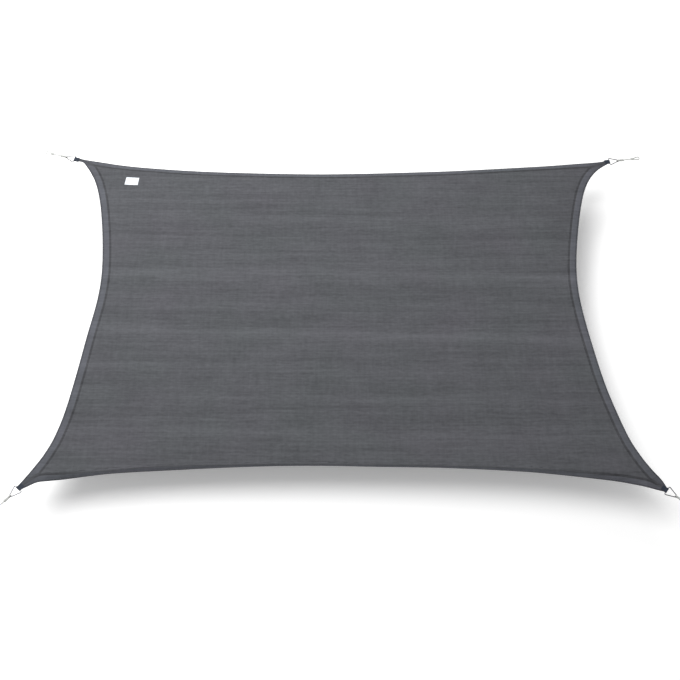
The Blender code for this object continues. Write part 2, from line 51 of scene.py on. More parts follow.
LONG_HEM = 0.038          # width of the hem along the long edges
SHORT_HEM = 0.046         # and along the short ones
HEM_UP = 0.0010           # hem's faces above and below its middle line
HEM_DOWN = 0.0018
HEM_STEP = 0.002          # from the hem's fold line in to the single cloth
BODY_HALF = 0.0006        # half the thickness of the single cloth
LONG_SAG = 0.008
SHORT_SAG = 0.005
BELLY = 0.012
FLAT_RADIUS = 0.12
FREE_RADIUS = 0.40
STRAP_WIDTH = 0.025
STRAP_THICK = 0.0013
STRAP_LENGTH = 0.026
TIP_SETBACK = 0.008
TIP_WIDTH = 0.026
GAP = 0.0003
RING_WIRE = 0.0025
RING_HALF_WIDTH = 0.0225
RING_APEX_BEND = 0.0065
RING_BASE_BEND = 0.0045
RING_LENGTH = 0.050
ROPE = 0.003
KNOT = 0.0068
KNOT_TURNS = 4
KNOT_GRIP = 0.004
LEG_APART = 0.0032
EYE_KNOT_START = 0.063
EYE_KNOT_END = 0.086
LOOP_KNOT_START = 0.124
LOOP_KNOT_END = 0.144
EYE_BULGE = 0.0042
LOOP_BULGE = 0.0068
LOOP_HALF_WIDTH = 0.0095
LOOP_LENGTH = 0.030
LABEL_THICK = 0.0008

# Corners, counter-clockwise from above; pull is the rope's direction in degrees from +X.
Corner = namedtuple("Corner", "name x y pull")
CORNERS = (
    Corner("near_left", -SAIL_WIDTH / 2, -SAIL_DEPTH / 2, 229),
    Corner("near_right", SAIL_WIDTH / 2, -SAIL_DEPTH / 2, -38),
    Corner("far_right", SAIL_WIDTH / 2, SAIL_DEPTH / 2, 9),
    Corner("far_left", -SAIL_WIDTH / 2, SAIL_DEPTH / 2, 164),
)

# at: place along the edge. hollow: how far the outline lies inside the line between two ring
# bars. curl: how steeply the hem hangs down there, in degrees.
Bow = namedtuple("Bow", "at hollow curl")


def bows(*rows):
    """An edge's table, its at and hollow given in millimetres."""
    return tuple(Bow(at / 1000, hollow / 1000, curl) for at, hollow, curl in rows)


NEAR_EDGE = bows(
    (-1455, 14, 0), (-1420, 35, 12), (-1372, 47, 34), (-1300, 60, 56), (-1190, 81, 78),
    (-1080, 96, 84), (-860, 111, 72), (-520, 132, 93), (-180, 143, 104), (160, 138, 98),
    (500, 132, 98), (840, 113, 82), (1060, 90, 72), (1280, 57, 55), (1385, 30, 28), (1434, 9, 0),
)
RIGHT_EDGE = bows(
    (-948, 15, 0), (-887, 57, 0), (-825, 92, 3), (-740, 129, 5), (-600, 169, 5), (-430, 208, 5),
    (-220, 240, 5), (0, 266, 5), (150, 273, 5), (300, 264, 5), (500, 233, 5), (680, 195, 5),
    (800, 160, 4), (880, 120, 2), (937, 73, 0), (967, 35, 0),
)
FAR_EDGE = bows(
    (1450, 3, 0), (1315, 12, 11), (1180, 22, 16), (910, 40, 18), (640, 58, 18), (370, 70, 18),
    (100, 80, 18), (-170, 85, 18), (-570, 79, 18), (-840, 69, 18), (-1107, 49, 18),
    (-1241, 36, 14), (-1354, 19, 7), (-1444, 5, 0),
)
LEFT_EDGE = bows(
    (977, 48, 0), (948, 72, 0), (905, 99, 2), (848, 129, 4), (765, 158, 5), (650, 185, 5),
    (450, 217, 5), (230, 238, 5), (60, 235, 5), (-160, 209, 5), (-400, 183, 5), (-600, 156, 5),
    (-740, 124, 5), (-830, 89, 3), (-896, 53, 0), (-957, 15, 0),
)
EDGES = (NEAR_EDGE, RIGHT_EDGE, FAR_EDGE, LEFT_EDGE)

# Creases and dips from one point to another: rise is up from the smooth cloth. The first nine
# are the solid's own, and the rest are finer. The table is in millimetres.
Crease = namedtuple("Crease", "x0 y0 x1 y1 half_width rise")
CREASES = tuple(Crease(*(size / 1000 for size in row)) for row in (
    (680, -140, 920, -530, 45, 4.5),
    (920, -530, 1260, -880, 40, 6),
    (620, -490, 880, -800, 40, 5),
    (1050, -200, 1200, -580, 50, 3),
    (980, -460, 1120, -620, 70, -3.5),
    (740, -520, 860, -660, 45, -3),
    (-1120, -320, -1220, -620, 60, 2.5),
    (-400, -520, -280, -680, 50, 2.5),
    (-920, -862, -790, -858, 22, -4.5),
    # Crinkles beside the near hem.
    (650, -770, 720, -830, 14, -2.6),
    (720, -775, 790, -838, 14, 2.6),
    (800, -785, 870, -842, 14, -2.6),
    (890, -838, 980, -846, 11, 2.2),
    (1030, -815, 1120, -850, 13, 1.8),
    (-620, -790, -500, -835, 18, 1.6),
    # Finer ones among the slack toward the near right corner.
    (860, -340, 1060, -700, 26, 2.6),
    (700, -280, 860, -620, 24, -2.2),
    (1080, -360, 1240, -740, 24, 2.2),
    (500, -400, 700, -700, 28, 2),
    (960, -600, 1180, -800, 22, -2.2),
    # Pulls from the corners inward.
    (1340, -905, 1080, -720, 26, 2),
    (1300, -835, 1170, -600, 24, -1.8),
    (-1340, -880, -1160, -660, 26, 1.8),
    (-1300, -900, -1020, -780, 24, -1.6),
    (-1340, 905, -1100, 700, 26, 2),
    (-1300, 925, -980, 840, 22, -1.4),
    (1350, 890, 1140, 680, 28, 2),
    (1320, 925, 1000, 840, 22, -1.4),
    # Slack across the middle.
    (-750, 360, -200, 270, 80, 2.2),
    (100, 120, 620, -20, 90, -2.2),
    (-550, -160, 20, -260, 85, 2),
    (350, 580, 800, 500, 80, 1.8),
))

# The label's corners in plan, counter-clockwise from its near left one.
LABEL = ((-1.203, 0.820), (-1.131, 0.818), (-1.127, 0.870), (-1.197, 0.872))

# ---------------------------------------------------------------- sizes of the fine surfaces
CELLS_ALONG = 200
CELLS_ACROSS = 134
CROWDING = 1.25
FAN_STEPS = 12
OUTLINE_STEPS = 24
MITRE_REACH = 0.30
MITRE_STEPS = 100

# Slope of the hem across its width, as shares of its curl.
HemBend = namedtuple("HemBend", "across slope")
HEM_BENDS = (HemBend(0, 0.20), HemBend(0.17, 0.62), HemBend(0.50, 1.0), HemBend(0.83, 1.1),
             HemBend(1, 1.1))
# The hem's faces above and below its middle line, from its fold line outward: two rows of
# stitches pinch it, and between its outer row and its fold it stands a little proud. The table
# is in tenths of a millimetre.
HemRow = namedtuple("HemRow", "out up down")
HEM_ROWS = tuple(HemRow(*(size / 10000 for size in row)) for row in (
    (0, 7, 14), (12, 7, 18), (24, 1, 14), (36, 8, 18), (52, 11, 19), (68, 8, 18), (80, 1, 14),
    (92, 8, 18), (120, 13, 21), (170, 17, 23), (230, 18, 23), (290, 16, 21), (330, 12, 18),
    (360, 10, 15), (373, 8, 12),
))
SEAM_END = 0.012          # the seam's outer side, from the fold line
STEEP = (56, 84)          # curls between which a painted highlight on the hem's crest takes the place of the seam's painted shade
RIM_ROUND = 0.0007        # how far the hem's outer fold bulges
SEAM_ROWS = (0.0024, 0.0080)   # stitch rows, outward from the fold line
PUCKER = 0.0007           # how high the cloth puckers along the seam
PUCKER_WAVE = 0.062
PUCKER_REACH = 0.030
PUCKER_CORNER = 0.15      # no ripple this near a corner

STITCH_PITCH = 0.0046
STITCH_LENGTH = 0.0037
STITCH_WIDTH = 0.0009
STITCH_HIGH = 0.00035
SEAM_SAMPLE = 0.002       # spacing at which a stitch row's line is worked out
STRAP_STITCH = 0.7        # size and pitch of the strap's stitches, of the hem's
LABEL_STITCH = 0.55       # size of the label's stitches, of the hem's, and their pitch
LABEL_PITCH = 0.6
SEWN_END = 0.004          # the strap's sewn square lies inside its end, its fold and its edges
SEWN_FOLD = 0.001
SEWN_SIDE = 0.003

TUBE_STEP = 0.0008        # spacing of the points along ropes and rings
ROPE_SIDES = 32
BRAID_AROUND = 8          # plaits round the rope
BRAID_PITCH = 0.0034      # and along it
BRAID_DEPTH = 0.09        # of the rope's radius
TURN_RADIAL = 0.0019      # half sizes of the rope where it is wound into a knot
TURN_AXIAL = 0.0026
TURN_STEPS = 40           # points to one turn
KNOT_SHORT = 0.1          # of a turn, at which the winding stops moving along the knot
KNOT_OVER = 0.02          # of a turn, by which it runs on
TURN_DIP = 0.12           # of a turn, either side of where an end dips under its neighbour
DIP_DEPTH = 0.0022
# The rope inside its knots, from each knot's start: its tails, and its way through with how far
# aside it runs.
EYE_TAIL = (0.015, 0.009)
EYE_PASS = ((0.011, 0.0028), (0.017, 0.0012))
LOOP_PASS = ((0.005, 0.0012), (0.011, 0.0028))
LOOP_TAIL = (0.011, 0.006)
ROPE_SOFTENING = 6        # passes that round off the rope's line, and the strap's
STRAP_SOFTENING = 4
STRAP_STEP = 0.001
RING_SIDES = 24
WEB_SIDES = 96
WEB_RIBS = 15             # ribs across the webbing
WEB_RIB_DEPTH = 0.00008
WEB_EDGE = 9              # how sharply the webbing's faces turn into its edges
LABEL_CELLS = (24, 18)
LABEL_LIFT = 0.0006       # how far the label's middle stands off its sewn rim
LABEL_RIM = (0.02, 0.25)  # between these shares of its size
LABEL_WAVE = 0.0002
LABEL_TAPE = 0.6          # the tape's thickness, of the solid's
LABEL_SEAM = 0.90         # the seam's place, from the middle outward

# ---------------------------------------------------------------- colours and light
CLOTH = (0.0824, 0.0846, 0.0922)
HEM_LIGHTER = 0.16        # change of tone on the hem; below, painted shade in its seam, and at its outer fold painted shade with denser yarn
SEAM_PAINTED_SHADE = -0.30
FOLD_YARN_AND_SHADE = -0.36
CREST_PAINTED_HIGHLIGHT = 1.30      # painted highlight on the hem's crest where it hangs steeply: a share of the seam's painted shade, turned the other way
TIP_DARKER = -0.26        # where a corner's overlapped layers shade each other
TIP_SHADE = (0.050, 0.125)     # wholly and no longer, by the distance from the ring bar
ON_HEM = (0.009, 0.013)        # distances out from the fold line between which tones change
OFF_SEAM = (0.0075, 0.0110)
ON_FOLD = (0.0285, 0.0335)
WALE = 0.0032             # pitch of the knit's ribs along Y
COURSE = 0.0021           # and of its courses
COURSE_SHARE = 0.35       # of the ribs' strength, broken up by the courses
LOOP_TONE = 0.06
WEBBING = (0.012, 0.020, 0.036)
STEEL = (0.26, 0.26, 0.27)
ROPE_COLOUR = (0.62, 0.63, 0.61)
LABEL_COLOUR = (0.84, 0.88, 0.93)
THREAD = (0.030, 0.031, 0.036)
FLOOR_LEVEL = -0.20
FLOOR_SIZE = 60
FLOOR = (0.96, 0.96, 0.96)
FLOOR_GLOW = 0.20         # lifts the floor just past white where nothing shades it
WORLD_STRENGTH = 0.45
Lamp = namedtuple("Lamp", "name place aim size power")
LAMPS = (
    Lamp("key", (-2.20, 0.85, 5.2), (-1.5, 1.0, 0), 4.8, 280),
    Lamp("fill", (-0.5, 3.6, 3.0), (-0.6, 0.4, 0), 2.0, 82),
)

# Lighter and darker bars of the knit across the sail: at is a place in Y at x = 0, given in
# millimetres, and tone is given in hundredths.
Bar = namedtuple("Bar", "at tone")
BARS = tuple(Bar(at / 1000, tone / 100) for at, tone in (
    (-1000, 47), (-840, 47), (-750, 50), (-706, 58), (-660, 47), (-560, 47), (-508, 56),
    (-460, 47), (-400, 46), (-352, 58), (-310, 48), (-200, 50), (-139, 68), (-90, 50), (-20, 46),
    (40, 56), (90, 48), (150, 46), (229, 68), (270, 50), (325, 56), (380, 47), (435, 56),
    (480, 44), (530, 46), (578, 57), (630, 48), (740, 52), (840, 49), (1000, 50),
))
# Unevenness of the knit: cells of noise to a metre along X and Y, and how strong it is.
KNIT_TONES = (
    ((1.1, 26.0), 0.42),      # broad bands
    ((3.5, 80.0), 0.48),      # long streaks
    ((34.0, 82.0), 0.54),     # short streaks
    ((80.0, 8.0), 0.26),      # ribs
    ((9.0, 9.0), 0.24),       # blotches
    ((2.4, 2.6), 0.16),       # wide patches
)
BAR_SLANT = 0.016         # the bars fall this much toward +X
BAR_CONTRAST = 1.6
BAR_WANDER = 0.035        # how far they waver
BAR_EVENNESS = 0.55       # their mean strength, before BAR_CONTRAST
STREAK_RELIEF = 0.7
PATCH_HUE = (0.006, -0.004, 0.004)     # faint shifts of hue over wide patches, and on the hem
HEM_HUE = (-0.001, 0.0, 0.004)

CAMERA_PLACE = (-0.0553, -3.0113, 4.5797)
CAMERA_PITCH = 58.210     # degrees below the horizon
CAMERA_YAW = 0.8202       # degrees turned from +Y toward +X
CAMERA_ROLL = 0.9075
CAMERA_LENS = 56.49


# ---------------------------------------------------------------- helpers
def put(name, data):
    """A new object in the scene."""
    item = bpy.data.objects.new(name, data)
    bpy.context.scene.collection.objects.link(item)
    return item


def add_piece(name, verts, faces, material, attributes=None):
    """A smooth mesh object that rides on the sail; attributes are values or vectors per point."""
    mesh = bpy.data.meshes.new(name)
    mesh.from_pydata(np.asarray(verts).tolist(), [], faces)
    for key, values in (attributes or {}).items():
        values = np.asarray(values, dtype=np.float32)
        kind, field = ("FLOAT", "value") if values.ndim == 1 else ("FLOAT_VECTOR", "vector")
        mesh.attributes.new(key, kind, "POINT").data.foreach_set(field, values.ravel())
    mesh.materials.append(material)
    mesh.shade_smooth()
    item = put(name, mesh)
    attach(item, "root")
    return item


def ease(low, high, value):
    share = np.clip((value - low) / (high - low), 0.0, 1.0)
    return share * share * (3 - 2 * share)


def unit(rows):
    return rows / np.linalg.norm(rows, axis=-1, keepdims=True)


def travel(points):
    """Distance along a line of points, from its first one."""
    steps = np.linalg.norm(np.diff(points, axis=0), axis=1)
    return np.concatenate(([0.0], np.cumsum(steps)))


def smooth_path(points, steps):
    """Points along a smooth curve through the given ones, steps to each span."""
    pts = [Vector(p) for p in points]
    knots = [0.0]
    for first, second in zip(pts, pts[1:]):
        knots.append(knots[-1] + (second.xy - first.xy).length)
    slopes = []
    for i in range(len(pts)):
        low, high = max(i - 1, 0), min(i + 1, len(pts) - 1)
        slopes.append((pts[high] - pts[low]) / (knots[high] - knots[low]))
    out = []
    for i in range(len(pts) - 1):
        span = knots[i + 1] - knots[i]
        for step in range(steps):
            t = step / steps
            out.append((2 * t**3 - 3 * t**2 + 1) * pts[i] + (t**3 - 2 * t**2 + t) * span * slopes[i]
                       + (3 * t**2 - 2 * t**3) * pts[i + 1] + (t**3 - t**2) * span * slopes[i + 1])
    out.append(pts[-1])
    return out


def corner_matrix(corner):
    turn = Matrix.Rotation(math.radians(corner.pull), 4, "Z")
    return Matrix.Translation((corner.x, corner.y, CORNER_LEVEL)) @ turn


def placed(points, matrix):
    """Points of the corner frame, moved to their corner."""
    turn = np.array(matrix.to_3x3())
    return np.asarray(points) @ turn.T + np.array(matrix.translation)


def turned(points, matrix):
    """Directions of the corner frame, turned with their corner."""
    return np.asarray(points) @ np.array(matrix.to_3x3()).T


def softened(path, passes):
    """The line with its bends rounded off, its two ends kept."""
    for _ in range(passes):
        path[1:-1] = (path[:-2] + 2 * path[1:-1] + path[2:]) / 4
    return path


def evenly(path, step, closed=False):
    """The line resampled at an even spacing near step."""
    path = np.asarray(path, dtype=float)
    if closed:
        path = np.vstack((path, path[:1]))
    along = travel(path)
    count = max(int(round(along[-1] / step)), 2)
    at = np.linspace(0, along[-1], count + 1)
    if closed:
        at = at[:-1]
    return np.stack([np.interp(at, along, path[:, k]) for k in range(3)], axis=1)


def arc(centre, radius, start, end, steps):
    """Points of an arc in a plane; angles in degrees."""
    angles = np.radians(np.linspace(start, end, steps + 1))
    return [(centre[0] + radius * math.cos(a), centre[1] + radius * math.sin(a)) for a in angles]


# ---------------------------------------------------------------- cloth: its form
def crease_rise(x, y):
    rise = np.zeros_like(x)
    for c in CREASES:
        length = math.hypot(c.x1 - c.x0, c.y1 - c.y0)
        run = ((c.x1 - c.x0) / length, (c.y1 - c.y0) / length)
        along = (x - c.x0) * run[0] + (y - c.y0) * run[1]
        aside = (y - c.y0) * run[0] - (x - c.x0) * run[1]
        beyond = np.maximum(np.maximum(-along, along - length), 0)
        rise += c.rise * np.exp(-(aside / c.half_width) ** 2 - (beyond / (2 * c.half_width)) ** 2)
    return rise


def height(x, y):
    """Middle of the cloth's thickness."""
    s, t = 2 * x / SAIL_WIDTH, 2 * y / SAIL_DEPTH
    sag = LONG_SAG * (1 - s * s) + SHORT_SAG * (1 - t * t) + BELLY * (1 - s * s) * (1 - t * t)
    free = np.ones_like(x)
    for corner in CORNERS:
        free *= ease(FLAT_RADIUS, FREE_RADIUS, np.hypot(x - corner.x, y - corner.y))
    return CORNER_LEVEL + free * (crease_rise(x, y) - sag)


def hem_lines(curls, hems, outs):
    """Breadth in plan, drop and slope of the hem: a row for each curl and width of hem, a column
    for each out. An out is a distance from the fold line on the long edges' hem; on a wider hem
    all that lies outside the seam is stretched.
    """
    outs, hems = np.asarray(outs), np.asarray(hems)[:, None]
    fine = np.linspace(0, 1, 96)
    bend = np.interp(fine, [b.across for b in HEM_BENDS], [b.slope for b in HEM_BENDS])
    slope = np.radians(np.asarray(curls))[:, None] * bend[None, :]
    middle = (slope[:, 1:] + slope[:, :-1]) / 2
    step = fine[1] * hems
    start = np.zeros((len(slope), 1))
    breadth = np.hstack((start, np.cumsum(np.cos(middle) * step, axis=1)))
    drop = np.hstack((start, np.cumsum(np.sin(middle) * step, axis=1)))
    beyond = np.clip((outs - SEAM_END) / (LONG_HEM - SEAM_END), 0, 1)
    at = (outs + (hems - LONG_HEM) * beyond) / hems
    return [np.stack([np.interp(a, fine, row) for a, row in zip(at, table)])
            for table in (breadth, drop, slope)]


class Edge:
    """One edge's outline, from one corner's tip to the next, counter-clockwise."""

    def __init__(self, number):
        inner_sign = (1, -1, -1, 1)[number]
        self.hem = LONG_HEM if number % 2 == 0 else SHORT_HEM
        half = (SAIL_DEPTH if number % 2 == 0 else SAIL_WIDTH) / 2
        rows = []
        for bow in EDGES[number]:
            side = inner_sign * (bow.hollow - half)
            rows.append((bow.at, side, bow.curl) if number % 2 == 0 else (side, bow.at, bow.curl))
        tips = [self.tip(CORNERS[number], 1), self.tip(CORNERS[(number + 1) % 4], -1)]
        points = np.array(smooth_path(tips[:1] + rows + tips[1:], OUTLINE_STEPS))
        self.along = travel(points[:, :2])
        tangent = unit(np.gradient(points[:, :2], self.along, axis=0))
        inward = np.stack((-tangent[:, 1], tangent[:, 0]), axis=1)
        self.table = np.hstack((points[:, :2], inward, np.maximum(points[:, 2:], 0)))

    @staticmethod
    def tip(corner, side):
        place = corner_matrix(corner) @ Vector((-TIP_SETBACK, side * TIP_WIDTH / 2, 0))
        return (place.x, place.y, 0)

    def sample(self, at):
        """Outline points, inward directions, curls and hem widths at distances from the tip."""
        rows = np.stack([np.interp(at, self.along, column) for column in self.table.T], axis=1)
        return rows[:, :2], unit(rows[:, 2:4]), rows[:, 4], np.full(len(rows), self.hem)

    def line(self, at, out):
        """The line on the hem that lies out from its fold line, in plan."""
        point, inward, curl, hem = self.sample(at)
        breadth = hem_lines(curl, hem, [out, LONG_HEM])[0]
        return point + inward * (breadth[:, 1] - breadth[:, 0])[:, None]


def mitre(ending, starting):
    """Where two edges' fold lines cross: distances along each edge, and the point."""
    second = np.linspace(0, MITRE_REACH, MITRE_STEPS + 1)
    first = ending.along[-1] - second
    folds_a = [Vector(p) for p in ending.line(first, 0)]
    folds_b = [Vector(p) for p in starting.line(second, 0)]
    for i in range(MITRE_STEPS):
        for k in range(MITRE_STEPS):
            cross = intersect_line_line_2d(folds_a[i], folds_a[i + 1], folds_b[k], folds_b[k + 1])
            if cross is not None:
                return first[i], second[k], np.array(cross)
    raise ValueError("the fold lines do not cross")


def crowded(count):
    return 1 - (1 - np.linspace(0, 1, count + 1)) ** CROWDING


class Layout:
    """Where the hem's columns stand: roots on the fold line or a corner's spine, ends outside."""

    def __init__(self, edges):
        mitres = [mitre(edges[n - 1], edges[n]) for n in range(4)]
        along, across = crowded(CELLS_ALONG), crowded(CELLS_ACROSS)
        shares = (along, 1 - across[::-1], 1 - along[::-1], across)
        spans = []
        for n, edge in enumerate(edges):
            edge.plain = start, end = mitres[n][1], mitres[(n + 1) % 4][0]
            spans.append(start + shares[n] * (end - start))
        roots = []
        for (_, _, point), edge, span in zip(mitres, edges, spans):
            roots += [point[None, :], edge.line(span[1:-1], 0)]
        self.ring_size = sum(len(r) for r in roots)
        fan = np.arange(FAN_STEPS) / FAN_STEPS
        starts = [edge.sample(fan * edge.plain[0]) for edge in edges]
        ends = [edge.sample(edge.along[-1] - fan * (edge.along[-1] - edge.plain[1]))
                for edge in edges]
        roots += [(ends[n - 1][0] + starts[n][0]) / 2 for n in range(4)]
        self.roots = np.vstack(roots)

        index, outer, inward, curl, hem = [], [], [], [], []
        first = 0
        for n, edge in enumerate(edges):
            following = (n + 1) % 4
            plain = edge.sample(spans[n])
            late = [part[::-1] for part in ends[n]]
            for part, store in zip(zip(starts[n], plain, late), (outer, inward, curl, hem)):
                store.append(np.concatenate(part))
            index.append(self.ring_size + n * FAN_STEPS + np.arange(FAN_STEPS))
            index.append((first + np.arange(len(spans[n]))) % self.ring_size)
            index.append(self.ring_size + following * FAN_STEPS + np.arange(FAN_STEPS)[::-1])
            first += len(spans[n]) - 1
        self.index = np.concatenate(index)
        self.outer = np.vstack(outer)
        self.inward = np.vstack(inward)
        self.curl = np.concatenate(curl)
        self.hem = np.concatenate(hem)

    def inset_ring(self):
        """The fold line moved in to where the single cloth begins."""
        folds = self.roots[:self.ring_size]
        before = unit(folds - np.roll(folds, 1, axis=0))
        after = unit(np.roll(folds, -1, axis=0) - folds)
        turn = before + after
        inward = unit(np.stack((-turn[:, 1], turn[:, 0]), axis=1))
        square = np.stack((-before[:, 1], before[:, 0]), axis=1)
        return folds + inward * (HEM_STEP / np.sum(inward * square, axis=1))[:, None]

    def grid(self):
        """Plan points of the single cloth, blended from its four borders: [row, column]."""
        a, b = CELLS_ALONG, CELLS_ACROSS
        ring = self.inset_ring()
        near, right = ring[0:a + 1], ring[a:a + b + 1]
        far = ring[a + b:2 * a + b + 1][::-1]
        left = np.vstack((ring[2 * a + b:], ring[:1]))[::-1]
        u = crowded(a)[None, :, None]
        v = (1 - crowded(b)[::-1])[:, None, None]
        edges = (1 - v) * near[None] + v * far[None] + (1 - u) * left[:, None] + u * right[:, None]
        corners = ((1 - u) * (1 - v) * near[0] + u * (1 - v) * near[-1]
                   + (1 - u) * v * far[0] + u * v * far[-1])
        return edges - corners


def pucker(border):
    """Uneven ripple of the cloth along a seam, dying out toward its two corners."""
    along = travel(border)
    wave = 2 * math.pi * along / PUCKER_WAVE
    ripple = np.sin(wave + 1.7 * np.sin(wave * 0.21)) * (0.6 + 0.4 * np.sin(wave * 0.137 + 1))
    return PUCKER * ripple * ease(0, PUCKER_CORNER, along) * ease(0, PUCKER_CORNER, along[-1] - along)


def build_cloth(material):
    """Both skins of the cloth and its hem as one closed mesh."""
    edges = [Edge(n) for n in range(4)]
    layout = Layout(edges)
    grid = layout.grid()
    rows, columns = grid.shape[:2]
    ring = layout.ring_size

    # Ripple: each border's own, dying out inward.
    lift = np.zeros((rows, columns))
    for border in (grid[:1], grid[:, -1:], grid[-1:], grid[:, :1]):
        ripple = pucker(border.reshape(-1, 2)).reshape(border.shape[:2])
        lift += ripple * np.exp(-np.linalg.norm(grid - border, axis=2) / PUCKER_REACH)
    level = height(grid[..., 0], grid[..., 1]) + lift

    # The seam values kept per point are painted shade along the seam and a painted highlight on the
    # steep crest.
    verts, places, seam_painted_light, tips = [], [], [], []
    bars = np.array([(c.x, c.y) for c in CORNERS])

    def near_tip(points):
        away = np.linalg.norm(points[:, None, :2] - bars, axis=2).min(axis=1)
        return 1 - ease(*TIP_SHADE, away)

    def add(points, up, down, normal, out, seam):
        """Pairs of points in the upper and the lower skin, side by side."""
        points, normal = points.reshape(-1, 3), np.broadcast_to(normal, points.shape).reshape(-1, 3)
        up, down, out, seam = (np.broadcast_to(v, points.shape[:1]) for v in (up, down, out, seam))
        pair = np.stack((points + normal * up[:, None], points - normal * down[:, None]), axis=1)
        start = sum(len(v) for v in verts) // 2
        verts.append(pair.reshape(-1, 3))
        place = np.stack((points[:, 0], points[:, 1], out), axis=1)
        places.append(np.repeat(place, 2, axis=0))
        seam_painted_light.append(np.repeat(seam, 2))
        tips.append(np.repeat(near_tip(points), 2))
        return start + np.arange(len(points))

    straight_up = np.array((0.0, 0.0, 1.0))
    inside = np.full((rows, columns), -LONG_HEM)
    inside[0] = inside[-1] = -HEM_STEP
    inside[:, 0] = inside[:, -1] = -HEM_STEP
    body = np.dstack((grid, level))
    cells = add(body, BODY_HALF, BODY_HALF, straight_up, inside.ravel(), 0.0).reshape(rows, columns)

    border = np.concatenate((cells[0, :-1], cells[:-1, -1], cells[-1, :0:-1], cells[:0:-1, 0]))
    border_lift = np.concatenate((lift[0, :-1], lift[:-1, -1], lift[-1, :0:-1], lift[:0:-1, 0]))
    root_lift = np.concatenate((border_lift, np.zeros(len(layout.roots) - ring)))
    roots = layout.roots
    root_level = height(roots[:, 0], roots[:, 1])

    root = roots[layout.index]
    outs = np.array([row.out for row in HEM_ROWS])
    breadth, drop, slope = hem_lines(layout.curl, layout.hem, outs)
    full = hem_lines(layout.curl, layout.hem, [LONG_HEM])[0]
    # Zero along the plain hem. In a corner it spreads the hem from the spine to the outline.
    stretch = layout.outer - root + layout.inward * full
    local = np.linalg.norm(layout.outer - root, axis=1)
    seam = np.where(layout.index >= ring, ease(0.75, 1.0, local / layout.hem), 1.0)
    # Painted shade along the seam, turned into a painted highlight on the crest where the hem hangs
    # steeply.
    painted_shade_and_highlight = seam * (1 - (1 + CREST_PAINTED_HIGHLIGHT) * ease(*STEEP, layout.curl))

    root_painted_shade_and_highlight = np.zeros(len(roots))
    root_painted_shade_and_highlight[layout.index] = painted_shade_and_highlight
    root_cells = add(np.column_stack((roots, root_level + root_lift)), HEM_ROWS[0].up,
                     HEM_ROWS[0].down, straight_up, 0.0, root_painted_shade_and_highlight)

    ladder = [root_cells[layout.index]]
    for k, row in enumerate(HEM_ROWS[1:], start=1):
        plan = root - layout.inward * breadth[:, k:k + 1] + stretch * (row.out / LONG_HEM)
        z = height(plan[:, 0], plan[:, 1]) - drop[:, k]
        z += root_lift[layout.index] * math.exp(-row.out / PUCKER_REACH)
        lean = slope[:, k]
        normal = np.column_stack((-layout.inward * np.sin(lean)[:, None], np.cos(lean)))
        up = HEM_UP + (row.up - HEM_UP) * seam
        down = HEM_DOWN + (row.down - HEM_DOWN) * seam
        unrolled = roots[layout.index] - layout.inward * row.out
        start = add(np.column_stack((plan, z)), up, down, normal, row.out, painted_shade_and_highlight)
        places[-1][:, :2] = np.repeat(unrolled, 2, axis=0)
        ladder.append(start)
    # The outer fold: one more line of single points, midway between the skins.
    run = np.column_stack((-layout.inward * np.cos(lean)[:, None], -np.sin(lean)))
    fold_out = np.column_stack((plan, z)) + normal * ((up - down) / 2)[:, None] + run * RIM_ROUND
    first_rim = sum(len(part) for part in seam_painted_light)
    verts.append(fold_out)
    places.append(np.column_stack((unrolled, np.full(len(unrolled), LONG_HEM))))
    seam_painted_light.append(painted_shade_and_highlight)
    tips.append(near_tip(fold_out))
    rim = (first_rim + np.arange(len(fold_out))).tolist()

    faces = []

    def cell(a, b, c, d):
        """Cells in both skins, corners counter-clockwise from above."""
        for p, q, r, t in np.stack((a, b, c, d), axis=-1).reshape(-1, 4).tolist():
            faces.append((2 * p, 2 * q, 2 * r, 2 * t))
            faces.append((2 * t + 1, 2 * r + 1, 2 * q + 1, 2 * p + 1))

    cell(cells[:-1, :-1], cells[:-1, 1:], cells[1:, 1:], cells[1:, :-1])
    fold = root_cells[:ring]
    cell(fold, np.roll(fold, -1), np.roll(border, -1), border)
    ladder = np.stack(ladder, axis=1)
    following = np.roll(ladder, -1, axis=0)
    plain = ladder[:, 0] != following[:, 0]
    cell(ladder[plain, :-1], ladder[plain, 1:], following[plain, 1:], following[plain, :-1])

    # The fold closes the two skins. At a tip, where two columns share a root, the blunt end
    # runs along both.
    for i, (column, next_column) in enumerate(zip(ladder.tolist(), following.tolist())):
        m, n = rim[i], rim[(i + 1) % len(rim)]
        p, q = column[-1], next_column[-1]
        if plain[i]:
            faces.append((m, n, 2 * q, 2 * p))
            faces.append((2 * p + 1, 2 * q + 1, n, m))
            continue
        blunt = column[:0:-1] + next_column
        faces.extend((2 * a + 1, 2 * b + 1, 2 * b, 2 * a) for a, b in zip(blunt, blunt[1:]))
        faces.append((2 * p, m, 2 * p + 1))
        faces.append((2 * q, 2 * q + 1, n))

    piece = add_piece("sail_cloth_knit", np.vstack(verts), faces, material,
                      {"place": np.vstack(places), "seam": np.concatenate(seam_painted_light),
                       "tip": np.concatenate(tips)})
    return piece, edges


def surface_of(piece):
    """A search tree of a piece's faces, for laying other pieces on it."""
    mesh = piece.data
    return BVHTree.FromPolygons([v.co for v in mesh.vertices], [p.vertices for p in mesh.polygons])


def lay_on(tree, x, y, above=0.1):
    """Point and normal of the upper face at a place in plan."""
    point, normal = tree.ray_cast(Vector((x, y, above)), Vector((0, 0, -1)))[:2]
    return np.array(point), np.array(normal)


